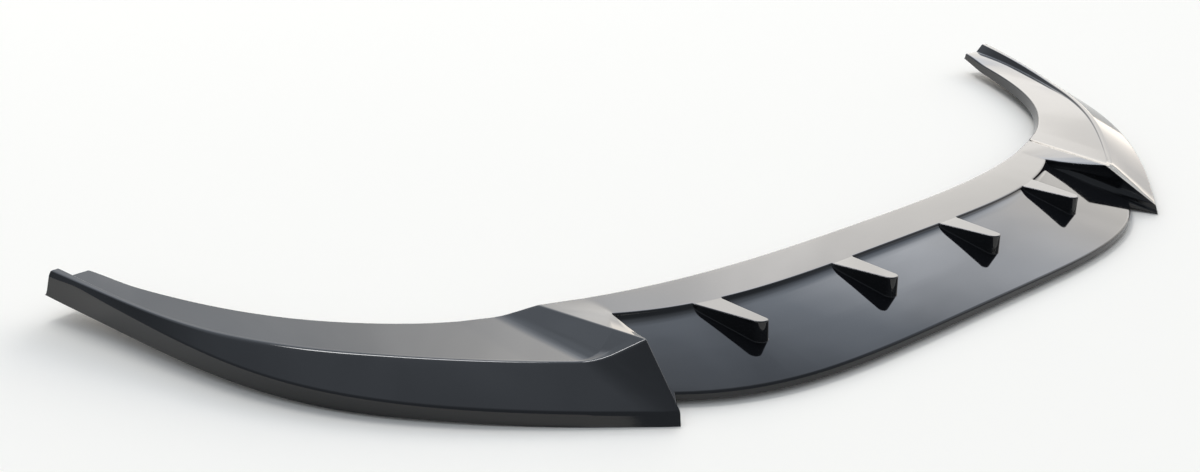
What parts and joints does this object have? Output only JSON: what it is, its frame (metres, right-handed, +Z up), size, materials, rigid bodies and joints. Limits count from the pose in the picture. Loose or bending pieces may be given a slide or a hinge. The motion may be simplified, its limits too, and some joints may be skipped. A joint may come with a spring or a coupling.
{
  "type": "front splitter lip",
  "caption": "One-piece gloss black front splitter lip: stepped centre blade with raised fins and swept-back hollow wings with a rim.",
  "frame": {"origin": "on the mirror plane, on the ground plane, half way between the front lip and the wing tips", "axes": "+X across the car, +Y back towards the wing tips and the bumper, +Z up"},
  "size_m": [1.8012, 0.6628, 0.0559],
  "materials": {
    "gloss_black_abs": "high gloss, deep black"
  },
  "bodies": {
    "root": {"splitter_lip": "gloss_black_abs"}
  },
  "joints": []
}
